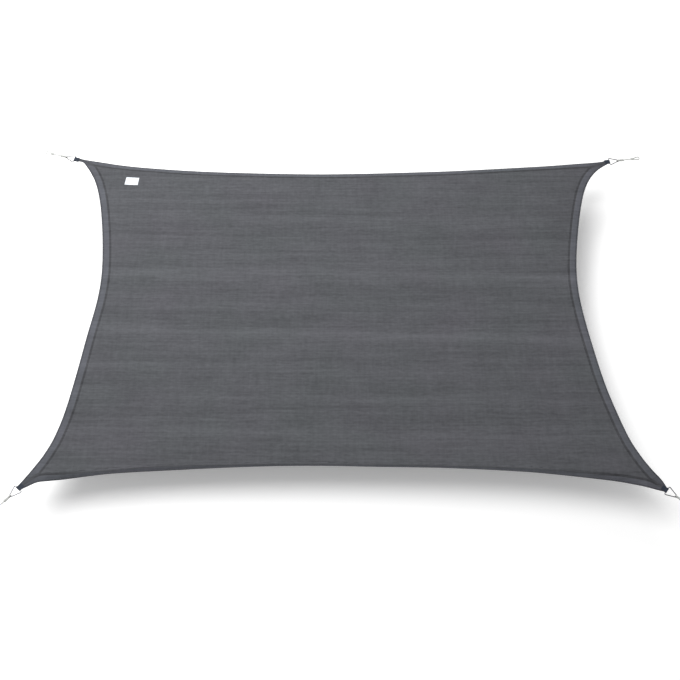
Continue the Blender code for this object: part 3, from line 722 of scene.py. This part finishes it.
# ---------------------------------------------------------------- stitches
def stitch_form():
    """One stitch: a flattened thread with round ends, along X, its underside open to the cloth."""
    half_long, half_wide = STITCH_LENGTH / 2, STITCH_WIDTH / 2
    verts, faces = [], []
    stations = ((-1.0, 0.35), (-0.72, 1.0), (0.72, 1.0), (1.0, 0.35))
    angles = [math.radians(a) for a in (-20, 30, 90, 150, 200)]
    for share, size in stations:
        for a in angles:
            verts.append((share * half_long, math.cos(a) * half_wide * size,
                          math.sin(a) * STITCH_HIGH * size))
    n = len(angles)
    for i in range(len(stations) - 1):
        for k in range(n):
            m = (k + 1) % n
            faces.append((i * n + k, (i + 1) * n + k, (i + 1) * n + m, i * n + m))
    faces.append(tuple(range(n)))
    faces.append(tuple(reversed(range((len(stations) - 1) * n, len(stations) * n))))
    return np.array(verts), faces


def sew(name, spots, material, size=1.0):
    """One mesh of stitches; a spot is (point, direction, normal)."""
    form, cells = stitch_form()
    points, along, normal = (np.array(column) for column in zip(*spots))
    along = unit(along - normal * np.sum(along * normal, axis=1, keepdims=True))
    aside = np.cross(normal, along)
    form = form * size
    verts = (points[:, None] + form[None, :, :1] * along[:, None]
             + form[None, :, 1:2] * aside[:, None] + form[None, :, 2:] * normal[:, None])
    faces = []
    for i in range(len(points)):
        start = i * len(form)
        faces.extend(tuple(start + k for k in face) for face in cells)
    return add_piece(name, verts.reshape(-1, 3), faces, material)


def hem_stitches(edges, tree, material):
    """Two rows along each hem, from mitre to mitre."""
    spots = []
    for edge in edges:
        for out in SEAM_ROWS:
            line = edge.line(np.arange(*edge.plain, SEAM_SAMPLE), out)
            along = travel(line)
            at = np.arange(STITCH_PITCH / 2, along[-1], STITCH_PITCH)
            line = np.stack([np.interp(at, along, line[:, k]) for k in range(2)], axis=1)
            found = [lay_on(tree, x, y) for x, y in line]
            points = np.array([f[0] for f in found])
            ahead = np.gradient(points, axis=0)
            spots.extend(zip(points, ahead, [f[1] for f in found]))
    return sew("hem_stitches", spots, material)


# ---------------------------------------------------------------- swept bodies
def transported(path, first):
    """A direction square to the path at each point, carried along without twisting."""
    tangents = unit(np.gradient(path, axis=0))
    across = [np.asarray(first, dtype=float)]
    for tangent in tangents:
        turned = across[-1] - tangent * np.dot(across[-1], tangent)
        across.append(turned / np.linalg.norm(turned))
    return np.array(across[1:])


def sweep(path, across, offsets, closed=False):
    """Verts and faces of a body swept along a path.

    offsets[i, k] is the section at point i: its first value lies along across, the second
    square to it and to the path.
    """
    if closed:
        ahead, back = np.roll(path, -1, axis=0), np.roll(path, 1, axis=0)
    else:
        ahead, back = np.vstack((path[1:], path[-1:])), np.vstack((path[:1], path[:-1]))
    tangent = unit(ahead - back)
    across = unit(across - tangent * np.sum(across * tangent, axis=1, keepdims=True))
    square = np.cross(tangent, across)
    verts = (path[:, None] + offsets[..., :1] * across[:, None] + offsets[..., 1:] * square[:, None])
    count, sides = offsets.shape[:2]
    number = np.arange(count * sides).reshape(count, sides)
    here = number if closed else number[:-1]
    there = np.roll(number, -1, axis=0) if closed else number[1:]
    faces = np.stack((here, np.roll(here, -1, axis=1), np.roll(there, -1, axis=1), there), axis=-1)
    faces = [tuple(f) for f in faces.reshape(-1, 4).tolist()]
    if not closed:
        faces.append(tuple(reversed(number[0].tolist())))
        faces.append(tuple(number[-1].tolist()))
    return verts.reshape(-1, 3), faces


def braided(path, radial, axial, closed_ends):
    """Section offsets of a braided rope along a path, and how proud each point stands."""
    along = travel(path)
    turn = 2 * math.pi * np.arange(ROPE_SIDES) / ROPE_SIDES
    plait = (np.cos(BRAID_AROUND * turn)[None, :]
             + np.cos(2 * math.pi * along / BRAID_PITCH)[:, None]) / 4 + 0.5
    size = 1 - BRAID_DEPTH * (1 - plait)
    end = np.minimum(along, along[-1] - along)
    size = size * np.sqrt(np.clip(end / closed_ends, 0.08, 1.0))[:, None]
    offsets = np.stack((radial * np.cos(turn) * size, axial * np.sin(turn) * size), axis=-1)
    return offsets, plait.ravel()


# ---------------------------------------------------------------- corner hardware
def drop_path(neck, widest, half_width, leg_bulge):
    """A drop-shaped bend of rope: out of the knot at neck, round a half circle, and back."""
    side = math.copysign(1, widest - neck)
    middle = (neck + widest) / 2
    leg = smooth_path([(neck, LEG_APART, 0), (middle, leg_bulge, 0), (widest, half_width, 0)], 8)
    leg = [(p.x, p.y) for p in leg]
    turn = arc((widest, 0), half_width, 90, 90 - side * 180, 24)
    return leg[:-1] + turn + [(x, -y) for x, y in reversed(leg)][1:]


def rope_route():
    """Middle line of one whole rope in the corner frame: from its tail in the first knot round
    the ring, back through that knot, out to the second knot, round the end loop and back in.
    """
    eye = drop_path(EYE_KNOT_START + KNOT_GRIP, RING_LENGTH, RING_WIRE + GAP + ROPE, EYE_BULGE)
    loop = drop_path(LOOP_KNOT_END - KNOT_GRIP, LOOP_KNOT_END + LOOP_LENGTH - LOOP_HALF_WIDTH,
                     LOOP_HALF_WIDTH, LOOP_BULGE)
    route = [(EYE_KNOT_START + x, 0, -LEG_APART) for x in EYE_TAIL]
    route += [(x, 0, z) for x, z in reversed(eye)]
    route += [(EYE_KNOT_START + x, 0, z) for x, z in EYE_PASS]
    route += [(EYE_KNOT_END, 0, 0), (LOOP_KNOT_START, 0, 0)]
    route += [(LOOP_KNOT_START + x, y, 0) for x, y in LOOP_PASS]
    route += [(x, y, 0) for x, y in loop]
    route += [(LOOP_KNOT_START + x, -LEG_APART, 0) for x in LOOP_TAIL]
    return softened(evenly(route, TUBE_STEP), ROPE_SOFTENING)


def knot_turns(start, end):
    """Middle line of the turns of rope wound round a knot, and the radial direction along it."""
    winding, last = KNOT_TURNS - KNOT_SHORT, KNOT_TURNS + KNOT_OVER
    pitch = (end - start - 2 * TURN_AXIAL) / winding
    turns = np.linspace(-TURN_DIP, last, TURN_STEPS * KNOT_TURNS)
    angle = 2 * math.pi * turns
    x = start + TURN_AXIAL + pitch * np.clip(turns, 0, winding)
    # The two ends dip under the turns beside them.
    dip = ease(TURN_DIP, -TURN_DIP, turns) + ease(last - 2 * TURN_DIP, last, turns)
    radius = KNOT - TURN_RADIAL - DIP_DEPTH * dip
    radial = np.column_stack((np.zeros_like(angle), np.cos(angle), np.sin(angle)))
    return np.column_stack((x, np.zeros_like(x), np.zeros_like(x))) + radial * radius[:, None], radial


def ring_line():
    """Middle line of the triangular ring in the corner frame."""
    apex, base = RING_LENGTH - RING_APEX_BEND, RING_BASE_BEND
    low = (base, RING_HALF_WIDTH - base)
    lean = math.degrees(math.atan2(low[1], apex - base)
                        + math.asin((base - RING_APEX_BEND) / math.hypot(apex - base, low[1])))
    upper = arc((apex, 0), RING_APEX_BEND, 0, 90 - lean, 16) + arc(low, base, 90 - lean, 180, 16)
    return [(x, y, 0) for x, y in upper] + [(x, -y, 0) for x, y in reversed(upper[1:])]


def strap_line():
    """Middle line of the folded webbing in the corner frame, from its upper end round the bar."""
    bend = RING_WIRE + GAP + STRAP_THICK / 2
    top = HEM_UP + GAP + STRAP_THICK / 2
    low = -HEM_DOWN - GAP - STRAP_THICK / 2
    turn = arc((0, 0), bend, 90, -90, 24)
    line = [(-STRAP_LENGTH, top), (-TIP_SETBACK, top), *turn, (-TIP_SETBACK, low),
            (-STRAP_LENGTH, low)]
    return softened(evenly([(x, 0, z) for x, z in line], STRAP_STEP), STRAP_SOFTENING)


def build_ring(corner, material):
    place = corner_matrix(corner)
    path = placed(evenly(ring_line(), TUBE_STEP, closed=True), place)
    turn = 2 * math.pi * np.arange(RING_SIDES) / RING_SIDES
    section = RING_WIRE * np.stack((np.cos(turn), np.sin(turn)), axis=-1)
    offsets = np.broadcast_to(section, (len(path), RING_SIDES, 2))
    verts, faces = sweep(path, np.tile((0.0, 0.0, 1.0), (len(path), 1)), offsets, closed=True)
    ring = add_piece("ring_wire_" + corner.name, verts, faces, material)
    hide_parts("ring_" + corner.name)
    return ring


def build_rope(corner, material):
    """One rope with its two wound knots."""
    place = corner_matrix(corner)
    path = placed(rope_route(), place)
    offsets, plait = braided(path, ROPE, ROPE, ROPE)
    verts, faces = sweep(path, transported(path, turned((0, 1, 0), place)), offsets)
    rope = add_piece("rope_line_" + corner.name, verts, faces, material,
                     {"plait": plait})
    for kind, start, end in (("eye", EYE_KNOT_START, EYE_KNOT_END),
                             ("loop", LOOP_KNOT_START, LOOP_KNOT_END)):
        turns, radial = knot_turns(start, end)
        offsets, plait = braided(turns, TURN_RADIAL, TURN_AXIAL, TURN_RADIAL)
        verts, faces = sweep(placed(turns, place), turned(radial, place), offsets)
        add_piece(f"{kind}_knot_{corner.name}", verts, faces, material,
                               {"plait": plait})
    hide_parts("rope_" + corner.name)
    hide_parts("rope_eye_" + corner.name)
    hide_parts("rope_loop_" + corner.name)
    return rope


def build_strap(corner, materials):
    """The folded webbing with its ribs, and the square and cross that sew it to the cloth."""
    place = corner_matrix(corner)
    line = strap_line()
    half_wide, half_thick = STRAP_WIDTH / 2, STRAP_THICK / 2
    turn = 2 * math.pi * (np.arange(WEB_SIDES) + 0.5) / WEB_SIDES
    cos, sin = np.cos(turn), np.sin(turn)
    # A flat oblong with round edges: half the points lie on each face.
    wide = cos * half_wide
    rib = WEB_RIB_DEPTH * np.cos(2 * math.pi * WEB_RIBS * wide / STRAP_WIDTH)
    thick = half_thick * np.clip(np.abs(sin) * WEB_EDGE, 0, 1) ** 0.5 - WEB_RIB_DEPTH + rib
    thick = np.sign(sin) * thick
    offsets = np.broadcast_to(np.stack((wide, thick), axis=-1), (len(line), WEB_SIDES, 2))
    across = np.tile(turned((0, 1, 0), place), (len(line), 1))
    verts, faces = sweep(placed(line, place), across, offsets)
    strap = add_piece("strap_web_" + corner.name, verts, faces, materials["webbing"])
    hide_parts("strap_" + corner.name)

    spots = []
    near, far, side = -STRAP_LENGTH + SEWN_END, -TIP_SETBACK - SEWN_FOLD, half_wide - SEWN_SIDE
    square = [(near, -side), (far, -side), (far, side), (near, side)]
    runs = [*zip(square, square[1:] + square[:1]), (square[0], square[2]), (square[1], square[3])]
    for level, facing in ((line[0][2] + half_thick, 1.0), (line[-1][2] - half_thick, -1.0)):
        for (x0, y0), (x1, y1) in runs:
            count = int(math.hypot(x1 - x0, y1 - y0) / (STITCH_PITCH * STRAP_STITCH))
            for k in range(count):
                share = (k + 0.5) / count
                spots.append(((x0 + share * (x1 - x0), y0 + share * (y1 - y0), level),
                              (x1 - x0, y1 - y0, 0), (0, 0, facing)))
    points, along, normal = zip(*spots)
    spots = list(zip(placed(points, place), turned(along, place), turned(normal, place)))
    sew("strap_stitches_" + corner.name, spots, materials["thread"], size=STRAP_STITCH)
    return strap


def build_label(tree, materials):
    """The blank label: a thin tape that follows the cloth, with a sewn edge."""
    u, v = np.meshgrid(*(np.linspace(0, 1, cells + 1) for cells in LABEL_CELLS))
    corners = np.array(LABEL)
    shares = ((1 - u) * (1 - v), u * (1 - v), u * v, (1 - u) * v)
    plan = sum(share[..., None] * corner for share, corner in zip(shares, corners))
    found = [lay_on(tree, x, y)[0][2] for x, y in plan.reshape(-1, 2)]
    level = np.array(found).reshape(u.shape) + GAP
    rim = np.minimum(np.minimum(u, 1 - u), np.minimum(v, 1 - v))
    level = level + LABEL_LIFT * ease(*LABEL_RIM, rim) + LABEL_WAVE * np.sin(9 * u + 4 * v)
    low = np.dstack((plan, level)).reshape(-1, 3)
    high = low + (0, 0, LABEL_THICK * LABEL_TAPE)
    number = np.arange(u.size).reshape(u.shape)
    quads = np.stack((number[:-1, :-1], number[:-1, 1:], number[1:, 1:], number[1:, :-1]), axis=-1)
    quads = quads.reshape(-1, 4).tolist()
    faces = [tuple(p + u.size for p in q) for q in quads] + [tuple(reversed(q)) for q in quads]
    border = np.concatenate((number[0, :-1], number[:-1, -1], number[-1, :0:-1], number[:0:-1, 0]))
    for p, q in zip(border.tolist(), np.roll(border, -1).tolist()):
        faces.append((p, q, q + u.size, p + u.size))
    label = add_piece("care_label_tape", np.vstack((low, high)), faces, materials["label"])
    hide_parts("care_label")

    top = surface_of(label)
    middle = corners.mean(axis=0)
    inner = middle + (corners - middle) * LABEL_SEAM
    spots = []
    for start, end in zip(inner, np.roll(inner, -1, axis=0)):
        count = int(np.linalg.norm(end - start) / (STITCH_PITCH * LABEL_PITCH))
        for k in range(count):
            plan = start + (end - start) * (k + 0.5) / count
            point, normal = lay_on(top, *plan)
            spots.append((point, (*(end - start), 0), normal))
    sew("label_stitches", spots, materials["label"], size=LABEL_STITCH)
    return label


# ---------------------------------------------------------------- materials
class Finish:
    """A material on a Principled shader, with short calls for its nodes."""

    def __init__(self, name, **constants):
        self.material = bpy.data.materials.new(name)
        self.material.use_nodes = True
        self.tree = self.material.node_tree
        self.shader = self.tree.nodes["Principled BSDF"]
        for socket, value in constants.items():
            self.shader.inputs[socket.replace("_", " ")].default_value = value

    def node(self, kind, inputs, output=0, **settings):
        made = self.tree.nodes.new("ShaderNode" + kind)
        for key, value in settings.items():
            setattr(made, key, value)
        for key, value in inputs.items():
            self.feed(made.inputs[key], value)
        return made.outputs[output]

    def feed(self, socket, value):
        if isinstance(value, bpy.types.NodeSocket):
            self.tree.links.new(value, socket)
        else:
            socket.default_value = value

    def attribute(self, name, output="Fac"):
        return self.node("Attribute", {}, output, attribute_name=name)

    def maths(self, operation, *values):
        return self.node("Math", dict(enumerate(values)), operation=operation)

    def vector(self, operation, *values):
        return self.node("VectorMath", dict(enumerate(values)), operation=operation)

    def scaled(self, vector, factor):
        return self.node("VectorMath", {0: vector, "Scale": factor}, operation="SCALE")

    def noise(self, where, scales, detail=2.0, roughness=0.5):
        """Noise about 0, from -0.5 to 0.5, stretched by a scale along each axis."""
        spread = self.vector("MULTIPLY", where, scales)
        found = self.node("TexNoise", {"Vector": spread, "Scale": 1.0, "Detail": detail,
                                       "Roughness": roughness})
        return self.maths("SUBTRACT", found, 0.5)

    def ramp(self, value, low, high, start=0.0, end=1.0):
        """Goes smoothly from start to end as value goes from low to high."""
        return self.node("MapRange", {"Value": value, "From Min": low, "From Max": high,
                                      "To Min": start, "To Max": end},
                         interpolation_type="SMOOTHSTEP")

    def bump(self, height, distance, strength=1.0):
        found = self.node("Bump", {"Height": height, "Distance": distance, "Strength": strength})
        self.feed(self.shader.inputs["Normal"], found)

    def colour(self, value):
        self.feed(self.shader.inputs["Base Color"], value)


def knit_finish():
    """Charcoal knit: ribs along Y, courses and uneven bars along X, a denser hem, painted shade in
    the seam, at the outer fold and near the corners, and a painted highlight on the hem's steep
    crest.
    """
    m = Finish("charcoal_knit", Roughness=0.85, Specular_IOR_Level=0.12)
    place, seam, tip = m.attribute("place", "Vector"), m.attribute("seam"), m.attribute("tip")
    split = m.tree.nodes.new("ShaderNodeSeparateXYZ")
    m.feed(split.inputs[0], place)
    u, v, out = split.outputs

    # Bars across the sail, a little slanted and wavy, stronger here and fainter there.
    wander = m.noise(place, (1.3, 2.0, 0), detail=2.0)
    row = m.maths("MULTIPLY_ADD", u, BAR_SLANT, v)
    row = m.maths("MULTIPLY_ADD", wander, BAR_WANDER, row)
    ramp = m.tree.nodes.new("ShaderNodeValToRGB")
    stops = ramp.color_ramp.elements
    while len(stops) < len(BARS):
        stops.new(0.5)
    for stop, bar in zip(stops, BARS):
        stop.position = (bar.at + 1) / 2
        stop.color = (bar.tone, bar.tone, bar.tone, 1)
    m.feed(ramp.inputs[0], m.maths("MULTIPLY_ADD", row, 0.5, 0.5))
    bars = m.maths("SUBTRACT", ramp.outputs[0], 0.5)
    strong = m.maths("ADD", m.noise(place, (1.9, 7.0, 0), detail=3.0), BAR_EVENNESS)
    bars = m.maths("MULTIPLY", m.maths("MULTIPLY", bars, strong), BAR_CONTRAST)

    tone = bars
    for scales, amount in KNIT_TONES:
        tone = m.maths("MULTIPLY_ADD", m.noise(place, (*scales, 0), roughness=0.6), amount, tone)
    streak = m.noise(place, (6.0, 170.0, 0), roughness=0.6)

    # The stitch structure itself: chains of loops along Y joined by thin courses along X.
    wale = m.maths("SINE", m.maths("MULTIPLY", u, 2 * math.pi / WALE))
    course = m.maths("SINE", m.maths("MULTIPLY", v, 2 * math.pi / COURSE))
    broken = m.maths("MULTIPLY_ADD", course, COURSE_SHARE, 1 - COURSE_SHARE)
    loops = m.maths("MULTIPLY", wale, broken)

    # Over the hem the layers show denser and lighter. The seam carries painted shade, which turns
    # into a painted highlight where the hem's crest hangs steeply, and the outer fold carries painted
    # shade with its denser yarn.
    on_hem = m.ramp(out, *ON_HEM)
    seam_band_painted_light = m.maths("MULTIPLY", m.ramp(out, *OFF_SEAM, 1.0, 0.0), seam)
    # Painted shade of the rolled outer fold, together with its denser yarn.
    fold = m.ramp(out, *ON_FOLD)
    for part, amount in ((loops, LOOP_TONE), (on_hem, HEM_LIGHTER), (seam_band_painted_light, SEAM_PAINTED_SHADE),
                         (fold, FOLD_YARN_AND_SHADE), (tip, TIP_DARKER)):
        tone = m.maths("MULTIPLY_ADD", part, amount, tone)
    tone = m.maths("ADD", tone, 1.0)

    # Faint shifts of hue over wide patches, and bluer on the hem.
    patch = m.noise(place, (2.6, 3.4, 0), detail=1.0)
    tint = m.vector("MULTIPLY_ADD", m.scaled(PATCH_HUE, patch), (1, 1, 1), CLOTH)
    tint = m.vector("ADD", tint, m.scaled(HEM_HUE, on_hem))
    m.colour(m.scaled(tint, tone))
    fine = m.maths("MULTIPLY_ADD", streak, STREAK_RELIEF, loops)
    m.bump(fine, 0.00035, 0.6)
    return m.material


def woven_finish(name, colour, roughness, specular, grains, relief):
    """A yarn or tape: each grain of its tone is (cells to a metre, detail, strength), and the last
    one is also its relief, as (distance, strength).
    """
    m = Finish(name, Roughness=roughness, Specular_IOR_Level=specular)
    place = m.node("TexCoord", {}, "Object")
    tone = 1.0
    for scales, detail, amount in grains:
        grain = m.noise(place, scales, detail=detail)
        tone = m.maths("MULTIPLY_ADD", grain, amount, tone)
    m.colour(m.scaled(colour, tone))
    m.bump(grain, *relief)
    return m.material


def steel_finish():
    """Polished stainless wire with faint drawing marks."""
    m = Finish("stainless_wire", Metallic=1.0)
    place = m.node("TexCoord", {}, "Object")
    marks = m.noise(place, (500, 500, 500), detail=3.0)
    m.feed(m.shader.inputs["Roughness"], m.maths("MULTIPLY_ADD", marks, 0.14, 0.20))
    m.colour(m.scaled(STEEL, m.maths("MULTIPLY_ADD", marks, 0.10, 1.0)))
    m.bump(marks, 0.00005, 0.3)
    return m.material


def rope_finish():
    """Pale braid with painted shade between its plaits, and fine fibres along them."""
    m = Finish("pale_braid", Roughness=0.72, Specular_IOR_Level=0.3)
    plait = m.attribute("plait")
    place = m.node("TexCoord", {}, "Object")
    fibre = m.noise(place, (1500, 1500, 1500), detail=2.0)
    # Painted shade: greyer where the braid sinks between its plaits.
    tone = m.maths("ADD", m.ramp(plait, 0.0, 0.7, 0.45, 1.0), m.maths("MULTIPLY", fibre, 0.25))
    m.colour(m.scaled(ROPE_COLOUR, tone))
    m.bump(fibre, 0.0003, 0.5)
    return m.material


def floor_finish():
    """Pale, and just past white where nothing shades it."""
    m = Finish("pale_floor", Roughness=1.0, Specular_IOR_Level=0.0, Emission_Color=(1, 1, 1, 1),
               Emission_Strength=FLOOR_GLOW)
    place = m.node("TexCoord", {}, "Object")
    m.colour(m.scaled(FLOOR, m.maths("MULTIPLY_ADD", m.noise(place, (3, 3, 3)), 0.01, 1.0)))
    return m.material


# ---------------------------------------------------------------- stage, light, camera
def build_stage():
    half = FLOOR_SIZE / 2
    mesh = bpy.data.meshes.new("floor")
    corners = [(-half, -half, 0), (half, -half, 0), (half, half, 0), (-half, half, 0)]
    mesh.from_pydata(corners, [], [(0, 1, 2, 3)])
    mesh.materials.append(floor_finish())
    floor = put("floor", mesh)
    floor.location.z = FLOOR_LEVEL


def build_light():
    for lamp in LAMPS:
        data = bpy.data.lights.new(lamp.name, "AREA")
        data.shape = "DISK"
        data.size = lamp.size
        data.energy = lamp.power
        item = put(lamp.name, data)
        item.location = lamp.place
        away = Vector(lamp.place) - Vector(lamp.aim)
        item.rotation_mode = "QUATERNION"
        item.rotation_quaternion = away.to_track_quat("Z", "Y")
    world = bpy.data.worlds.new("studio")
    world.use_nodes = True
    sky = world.node_tree.nodes["Background"]
    sky.inputs["Color"].default_value = (1, 1, 1, 1)
    sky.inputs["Strength"].default_value = WORLD_STRENGTH
    bpy.context.scene.world = world
    bpy.context.scene.view_settings.view_transform = "Standard"


def build_camera():
    yaw, pitch, roll = (math.radians(a) for a in (CAMERA_YAW, CAMERA_PITCH, CAMERA_ROLL))
    level = math.cos(pitch)
    ahead = Vector((math.sin(yaw) * level, math.cos(yaw) * level, -math.sin(pitch)))
    right = Vector((math.cos(yaw), -math.sin(yaw), 0))
    up = right.cross(ahead)
    right, up = (right * math.cos(roll) + up * math.sin(roll),
                 up * math.cos(roll) - right * math.sin(roll))
    data = bpy.data.cameras.new("camera")
    data.lens = CAMERA_LENS
    camera = put("camera", data)
    turn = Matrix((right, up, -ahead)).transposed().to_4x4()
    camera.matrix_world = Matrix.Translation(CAMERA_PLACE) @ turn
    bpy.context.scene.camera = camera


def main():
    build_camera()
    build_light()
    build_stage()
    materials = {
        "knit": knit_finish(), "steel": steel_finish(), "rope": rope_finish(),
        "webbing": woven_finish("woven_webbing", WEBBING, 0.62, 0.35,
                                [((120,) * 3, 2.0, 0.4), ((900,) * 3, 2.0, 0.9)], (0.0004, 0.8)),
        "label": woven_finish("white_tape", LABEL_COLOUR, 0.6, 0.3,
                              [((60,) * 3, 1.0, 0.06), ((1400, 400, 400), 2.0, 0.08)],
                              (0.0002, 0.4)),
        "thread": woven_finish("dark_thread", THREAD, 0.55, 0.4, [((1800,) * 3, 1.0, 0.8)],
                               (0.0002, 0.5)),
    }
    for corner in CORNERS:
        build_rope(corner, materials["rope"])
        build_ring(corner, materials["steel"])
    cloth, edges = build_cloth(materials["knit"])
    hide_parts("sail_cloth")
    tree = surface_of(cloth)
    hem_stitches(edges, tree, materials["thread"])
    build_label(tree, materials)
    for corner in CORNERS:
        build_strap(corner, materials)


main()
